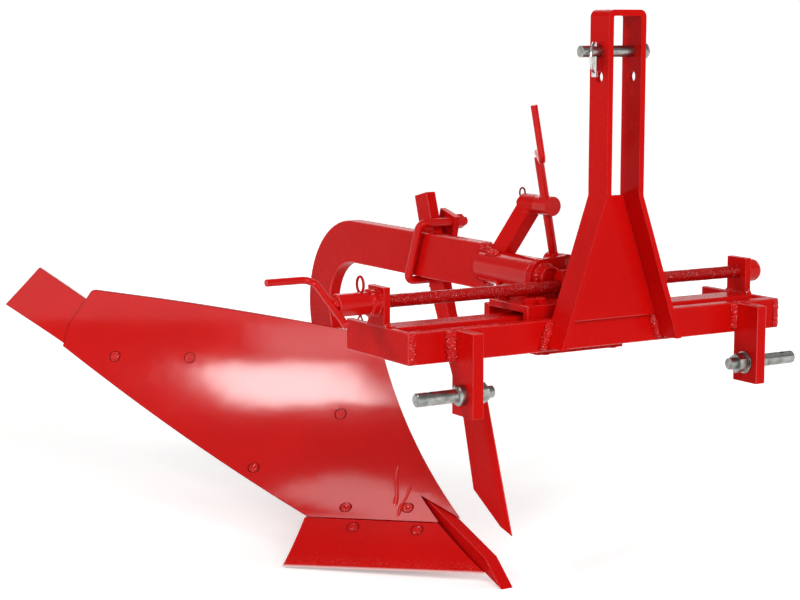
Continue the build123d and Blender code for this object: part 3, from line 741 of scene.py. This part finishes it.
bodySeams = {
    "beamLeg": 10.0, "beamRise": 26.0,
    "armLeg": 8.0, "armHalf": 13.0, "armY": (254, 290), "armZ": 612.0,
    "armSide": (0.9, -0.43), "armUp": (0, -0.2, 1),
    "sleeveLeg": 5.0, "sleeveX": 2.97, "sleeveHalf": 13.0, "sleeveY": (206, 236), "sleeveZ": 689.0,
    "crownLeg": 11.0, "crownRadius": 30.0, "crownArcs": ((64, 116), (244, 296)),
    "rootHalf": 14.0, "rootY": 292.0, "rootZ": 614.0, "rootUp": (0, -0.4, 0.9),
    "capHalf": 13.0, "capY": 308.0, "capZ": 618.0, "capUp": (0, 0.5, 0.9), "capBead": (8.0, 9.0),
    "frogLeg": 5.0, "frogX": -40.0, "frogInset": 4.0,
}


def acrossTube(half, y, z):   # both ends of a seam across the pivot tube
    return (pivot.x - half, y, z), (pivot.x + half, y, z)


def bodyWelds():
    look = bodySeams
    beamLow, beamHigh = boxOf("beam")
    footLow, footHigh = boxOf("foot_block")
    tubeEnd = beamLow.y
    mesh = bmesh.new()
    for side, x in ((-1, beamLow.x), (1, beamHigh.x)):
        start, end = ((x, tubeEnd, pivot.z + rise) for rise in (-look["beamRise"], look["beamRise"]))
        straightSeam(mesh, start, end, (side, 0, 0), back, look["beamLeg"])
        start, end = ((pivot.x + side * look["armHalf"], y, look["armZ"]) for y in look["armY"])
        sideways, drop = look["armSide"]
        straightSeam(mesh, start, end, (side * sideways, 0, drop), look["armUp"], look["armLeg"])
        sleeveSide = look["sleeveX"] + side * look["sleeveHalf"]
        start, end = ((sleeveSide, y, look["sleeveZ"]) for y in look["sleeveY"])
        straightSeam(mesh, start, end, (side, 0, 0), down, look["sleeveLeg"])
    for start, end in look["crownArcs"]:
        centre = (pivot.x, tubeEnd, pivot.z)
        ringSeam(mesh, centre, (1, 0, 0), up, look["crownRadius"], front, look["crownLeg"], start, end)
    start, end = acrossTube(look["rootHalf"], look["rootY"], look["rootZ"])
    straightSeam(mesh, start, end, back, look["rootUp"], look["crownLeg"])
    start, end = acrossTube(look["capHalf"], look["capY"], look["capZ"])
    flatBead(mesh, start, end, front, look["capUp"], look["capBead"])
    low, top = footLow.z + look["frogInset"], footHigh.z - look["frogInset"]
    for y, way in ((footLow.y, front), (footHigh.y, back)):
        straightSeam(mesh, (look["frogX"], y, low), (look["frogX"], y, top), (1, 0, 0), way, look["frogLeg"])
    makePiece("bodyWelds", mesh, weldPaint, "plough_body")


frameWelds()
carriageWelds()
bodyWelds()
print("welds laid")

# split pins, set screws and hex bolts

pinLoop = {"from": -74, "sweep": 328, "steps": 36}


def loopPoints(centre, wideWay, wide, tall):
    points = []
    for i in range(pinLoop["steps"] + 1):
        turn = math.radians(pinLoop["from"] + pinLoop["sweep"] * i / pinLoop["steps"])
        offset = Vector(wideWay) * wide * math.cos(turn) + Vector((0, 0, tall)) * math.sin(turn)
        points.append(spot(*(Vector(centre) + offset)))
    return points


hubPin = {"x": -414.0, "loopZ": 601.5, "wide": 10.5, "tall": 13.0, "wire": 2.3, "legY": 1.6, "legZ": 578.0,
          "tail": ((1.8, 560), (2.4, 550), (7.0, 545)), "tailWire": 1.5}


def hubSplitPin():
    look = hubPin
    x, y = look["x"], screwAxis.y
    mesh = bmesh.new()
    loop = loopPoints((x, y, look["loopZ"]), back, look["wide"], look["tall"])
    legs = [spot(x, y + way * look["legY"], look["legZ"]) for way in (1, -1)]
    line = legs[:1] + loop + legs[1:]
    addTube(mesh, line, [look["wire"] / 1000] * len(line), sides=10)
    for way in (-1, 1):
        tail = [spot(x, y + way * reach, z) for reach, z in look["tail"]]
        addTube(mesh, tail, [look["tailWire"] / 1000] * len(tail))
    makePiece("hubSplitPin", mesh, threadPaint, "hitch_frame")


armPin = {"x": 2.97, "y": 246.5, "loopZ": 719.5, "loopWay": (0.8, -0.6, 0), "wide": 4.6, "tall": 8.5,
          "wire": 1.6, "legX": (3.8, 2.1), "legZ": 708.0,
          "tail": ((1.0, 247, 696), (1.3, 247.5, 689), (5.0, 248, 685)), "tailWire": 1.5}


def trunnionSplitPin():
    look = armPin
    mesh = bmesh.new()
    loop = loopPoints((look["x"], look["y"], look["loopZ"]), look["loopWay"], look["wide"], look["tall"])
    legs = [spot(x, look["y"], look["legZ"]) for x in look["legX"]]
    line = legs[:1] + loop + legs[1:]
    addTube(mesh, line, [look["wire"] / 1000] * len(line), sides=10)
    for way in (-1, 1):
        tail = [spot(look["x"] + way * reach, y, z) for reach, y, z in look["tail"]]
        addTube(mesh, tail, [look["tailWire"] / 1000] * len(tail))
    # the split pin takes the same near-black red as the painted shade in the gaps
    makePiece("trunnionSplitPin", mesh, darkShadePaint, "trunnion")


hubSplitPin()
trunnionSplitPin()

hexBolt = {"washerShare": 0.62, "washerRim": 1.9, "washerTop": 2.3, "washerEdge": 0.5}


def addHexBolt(mesh, base, axis, flats, height, turn=0.0):   # washer and head
    look = hexBolt
    washer = flats * look["washerShare"]
    rim, top = look["washerRim"], look["washerTop"]
    addTurned(mesh, base, axis, [(washer, 0), (washer, rim), (washer - look["washerEdge"], top)])
    addHex(mesh, base + axis.normalized() * top / 1000, axis, flats, height, turn)


saddleBolt = {
    "keeperX": (-98, 42), "keeperY": (36, 149),
    "sunkScrew": [(9.5, -1), (9.5, 0.3), (8.8, 0.6), (4.2, 0.6), (3.6, 0), (0, -0.1)],
    "rows": ((50, (-118, -96, 40, 62)), (124, (-118, 66))),   # y and the bolts' x
    "flats": 17.0, "height": 7.0,
}


def saddleBolts():
    look = saddleBolt
    low, top = boxOf("keeper_strap")[0].z, boxOf("saddle")[1].z
    mesh = bmesh.new()
    for x in look["keeperX"]:
        for y in look["keeperY"]:
            addTurned(mesh, spot(x, y, low), Vector(down), look["sunkScrew"], sides=28)
    for y, row in look["rows"]:
        for x in row:
            addHexBolt(mesh, spot(x, y, top), Vector(up), look["flats"], look["height"], x)
    makePiece("saddleBolts", mesh, framePaint, "carriage", edge=0.5)


frogBolt = {
    "places": ((854.2, 319.6), (836.7, 289.3), (819.2, 259)),   # y and z
    "plate": 18.0, "flats": 24.0, "head": 9.5, "headTurn": 0.3, "nut": 13.0, "nutTurn": 0.1,
    "end": [(8, 0), (8, 5), (7, 6)],
    "landY": (622, 664), "landZ": 42, "landDeep": 1.0,
    "landScrew": [(11, 0), (11, 0.7), (10.2, 1.0), (5, 0.9), (4.4, 0.2), (0, 0.1)],
}


def frogBolts():
    look = frogBolt
    left, right = Vector((1, 0, 0)), Vector((-1, 0, 0))
    beamLow, beamHigh = boxOf("beam")
    face = beamLow.x - look["plate"]
    nutEnd = face - hexBolt["washerTop"] - look["nut"]
    mesh = bmesh.new()
    for y, z in look["places"]:
        addHexBolt(mesh, spot(beamHigh.x, y, z), left, look["flats"], look["head"], look["headTurn"])
        addHexBolt(mesh, spot(face, y, z), right, look["flats"], look["nut"], look["nutTurn"])
        addTurned(mesh, spot(nutEnd, y, z), right, look["end"], sides=20)
    landX = boxOf("landside")[1].x - look["landDeep"]
    for y in look["landY"]:
        addTurned(mesh, spot(landX, y, look["landZ"]), left, look["landScrew"], sides=28)
    makePiece("frogBolts", mesh, framePaint, "plough_body", edge=0.5)


setScrew = {
    "stubPlace": (-46, 248, 567), "stubWay": (-0.35, -0.7, -0.62),
    "stub": [(5.2, 0), (5.2, 15), (4.0, 16), (4.0, 23), (3.0, 24.5), (0, 25)],
    "pointPlace": (-17, 617.5, 162.5), "pointPitch": 18.8,
    "lockNut": 17.0, "lockHeight": 5.0, "shank": 5, "shankLength": 7, "flats": 13.0, "height": 8.0,
}


def setScrews():
    look = setScrew
    mesh = bmesh.new()
    way = Vector(look["stubWay"]).normalized()
    addTurned(mesh, spot(*look["stubPlace"]), way, look["stub"], sides=20)
    pitch = math.radians(look["pointPitch"])
    lift = Vector((0, -math.sin(pitch), math.cos(pitch)))
    top = Vector(look["pointPlace"])
    addHex(mesh, spot(*top), lift, look["lockNut"], look["lockHeight"])
    top += lift * look["lockHeight"]
    shank = [(look["shank"], 0), (look["shank"], look["shankLength"])]
    addTurned(mesh, spot(*top), lift, shank, sides=18)
    top += lift * look["shankLength"]
    addHex(mesh, spot(*top), lift, look["flats"], look["height"])
    makePiece("setScrews", mesh, framePaint, "plough_body", edge=0.4)


axlePlug = {"front": 115.5, "deep": 6.0,
            "profile": [(12.8, 0), (12.8, 4.5), (10.8, 5.7), (6.8, 6.0), (0, 6.3)]}


def axleEnd():
    look = axlePlug
    mesh = bmesh.new()
    base = spot(pivot.x, look["front"] + look["deep"], pivot.z)
    addTurned(mesh, base, Vector(front), look["profile"], sides=32)
    makePiece("axlePlug", mesh, framePaint, "carriage")


saddleBolts()
axleEnd()
frogBolts()
setScrews()
print("small fasteners placed")

# floor, light and camera

studio = {
    "floorColour": (0.9, 0.9, 0.895),
    "glowNear": 0.37,
    "glowFar": 0.62,
    "nearRadius": 1.6,
    "farRadius": 4.2,
    "skyLevel": 0.25,
    "innerRadius": 2.0,
    "flatRadius": 5.2,
    "rimRadius": 7.0,
    "rimHeight": 2.6,
    "bendSteps": 12,
    "sides": 96,
}


def paperMaterial():
    look = studio
    material = bpy.data.materials.new("studioPaper")
    material.use_nodes = True
    tree = material.node_tree
    tree.nodes.clear()
    out = shaderNode(tree, "ShaderNodeOutputMaterial")
    paper = shaderNode(tree, "ShaderNodeBsdfDiffuse")
    paper.inputs["Color"].default_value = (*look["floorColour"], 1)
    glow = shaderNode(tree, "ShaderNodeEmission")
    rays = shaderNode(tree, "ShaderNodeLightPath")
    seen = shaderNode(tree, "ShaderNodeMath", operation="MAXIMUM")
    both = shaderNode(tree, "ShaderNodeMath", operation="MAXIMUM")
    total = shaderNode(tree, "ShaderNodeAddShader")
    far = shaderNode(tree, "ShaderNodeVectorMath", operation="LENGTH")
    tree.links.new(shaderNode(tree, "ShaderNodeTexCoord").outputs["Object"], far.inputs[0])
    level = rampOf(tree, far.outputs["Value"], look["nearRadius"], look["farRadius"],
                   look["glowNear"], look["glowFar"])
    tree.links.new(rays.outputs["Is Camera Ray"], seen.inputs[0])
    tree.links.new(rays.outputs["Is Glossy Ray"], seen.inputs[1])
    tree.links.new(seen.outputs[0], both.inputs[0])
    tree.links.new(rays.outputs["Is Transmission Ray"], both.inputs[1])
    tree.links.new(productOf(tree, both.outputs[0], level), glow.inputs["Strength"])
    tree.links.new(paper.outputs[0], total.inputs[0])
    tree.links.new(glow.outputs[0], total.inputs[1])
    top = shaderNode(tree, "ShaderNodeMixShader")   # clear from below
    tree.links.new(shaderNode(tree, "ShaderNodeNewGeometry").outputs["Backfacing"], top.inputs[0])
    tree.links.new(total.outputs[0], top.inputs[1])
    tree.links.new(shaderNode(tree, "ShaderNodeBsdfTransparent").outputs[0], top.inputs[2])
    tree.links.new(top.outputs[0], out.inputs["Surface"])
    return material


def studioFloor():
    look = studio
    mesh = bmesh.new()
    bend = look["rimRadius"] - look["flatRadius"]
    profile = [(0.0, 0.0), (look["innerRadius"], 0.0), (look["flatRadius"], 0.0)]
    for i in range(1, look["bendSteps"] + 1):
        turn = math.pi / 2 * i / look["bendSteps"]
        profile.append((look["flatRadius"] + bend * math.sin(turn), bend * (1 - math.cos(turn))))
    profile.append((look["rimRadius"], look["rimHeight"]))
    rings = []
    for radius, height in profile:
        centre = Vector((0, 0, height))
        if radius:
            rings.append(ringAt(mesh, centre, Vector((1, 0, 0)), Vector((0, 1, 0)), radius, look["sides"]))
        else:
            rings.append([mesh.verts.new(centre)])
    joinRings(mesh, rings[::-1], capped=False)   # faces look up
    data = bpy.data.meshes.new("studioFloor")
    mesh.to_mesh(data)
    mesh.free()
    for face in data.polygons:
        face.use_smooth = True
    data.materials.append(paperMaterial())
    floor = bpy.data.objects.new("studioFloor", data)
    scene.collection.objects.link(floor)


def skyLight():
    world = bpy.data.worlds.new("studioSky")
    scene.world = world
    world.use_nodes = True
    sky = world.node_tree.nodes["Background"]
    sky.inputs["Color"].default_value = (1, 1, 1, 1)
    sky.inputs["Strength"].default_value = studio["skyLevel"]


softBoxes = {   # place and aim in millimetres, width and height in metres, radiance
    "sideBox": ((-2115, 381, 1770), (-147, 839, 295), 0.52, 0.48, 20.5),
    "lowBox": ((-2010, 180, 1210), (-80, 800, 370), 0.45, 0.3, 3.2),
    "topBox": ((-850, 830, 2110), (-91, 598, 132), 0.36, 0.55, 3.8),
    "frontFill": ((-900, -4300, 3000), (0, 500, 450), 3.2, 2.2, 6.8),
    "rearFill": ((1500, 4500, 3000), (0, 500, 450), 3.0, 2.0, 2.6),
    "leftFill": ((4400, 300, 2600), (0, 500, 450), 2.8, 2.0, 2.8),
}


def lamps():
    for name, (place, aim, width, height, level) in softBoxes.items():
        light = bpy.data.lights.new(name, "AREA")
        light.shape = "RECTANGLE"
        light.size = width
        light.size_y = height
        light.energy = level * math.pi * width * height
        lamp = bpy.data.objects.new(name, light)
        lamp.location = spot(*place)
        lamp.rotation_euler = (spot(*aim) - spot(*place)).to_track_quat("-Z", "Y").to_euler()
        scene.collection.objects.link(lamp)


cameraLook = {"place": (-1980.18, -2584.77, 1016.69), "azimuth": -31.43, "elevation": 8.06, "lens": 88.27,
              "sensor": 36, "clipEnd": 60}


def photoCamera():
    look = cameraLook
    turn = math.radians(look["azimuth"])
    lift = math.radians(look["elevation"])
    backward = Vector((math.sin(turn) * math.cos(lift), -math.cos(turn) * math.cos(lift), math.sin(lift)))
    data = bpy.data.cameras.new("photoCamera")
    data.lens = look["lens"]
    data.sensor_width = look["sensor"]
    data.clip_end = look["clipEnd"]
    camera = bpy.data.objects.new("photoCamera", data)
    camera.location = spot(*look["place"])
    camera.rotation_euler = backward.to_track_quat("Z", "Y").to_euler()
    scene.collection.objects.link(camera)
    scene.camera = camera


studioFloor()
skyLight()
lamps()
photoCamera()
print("studio set")
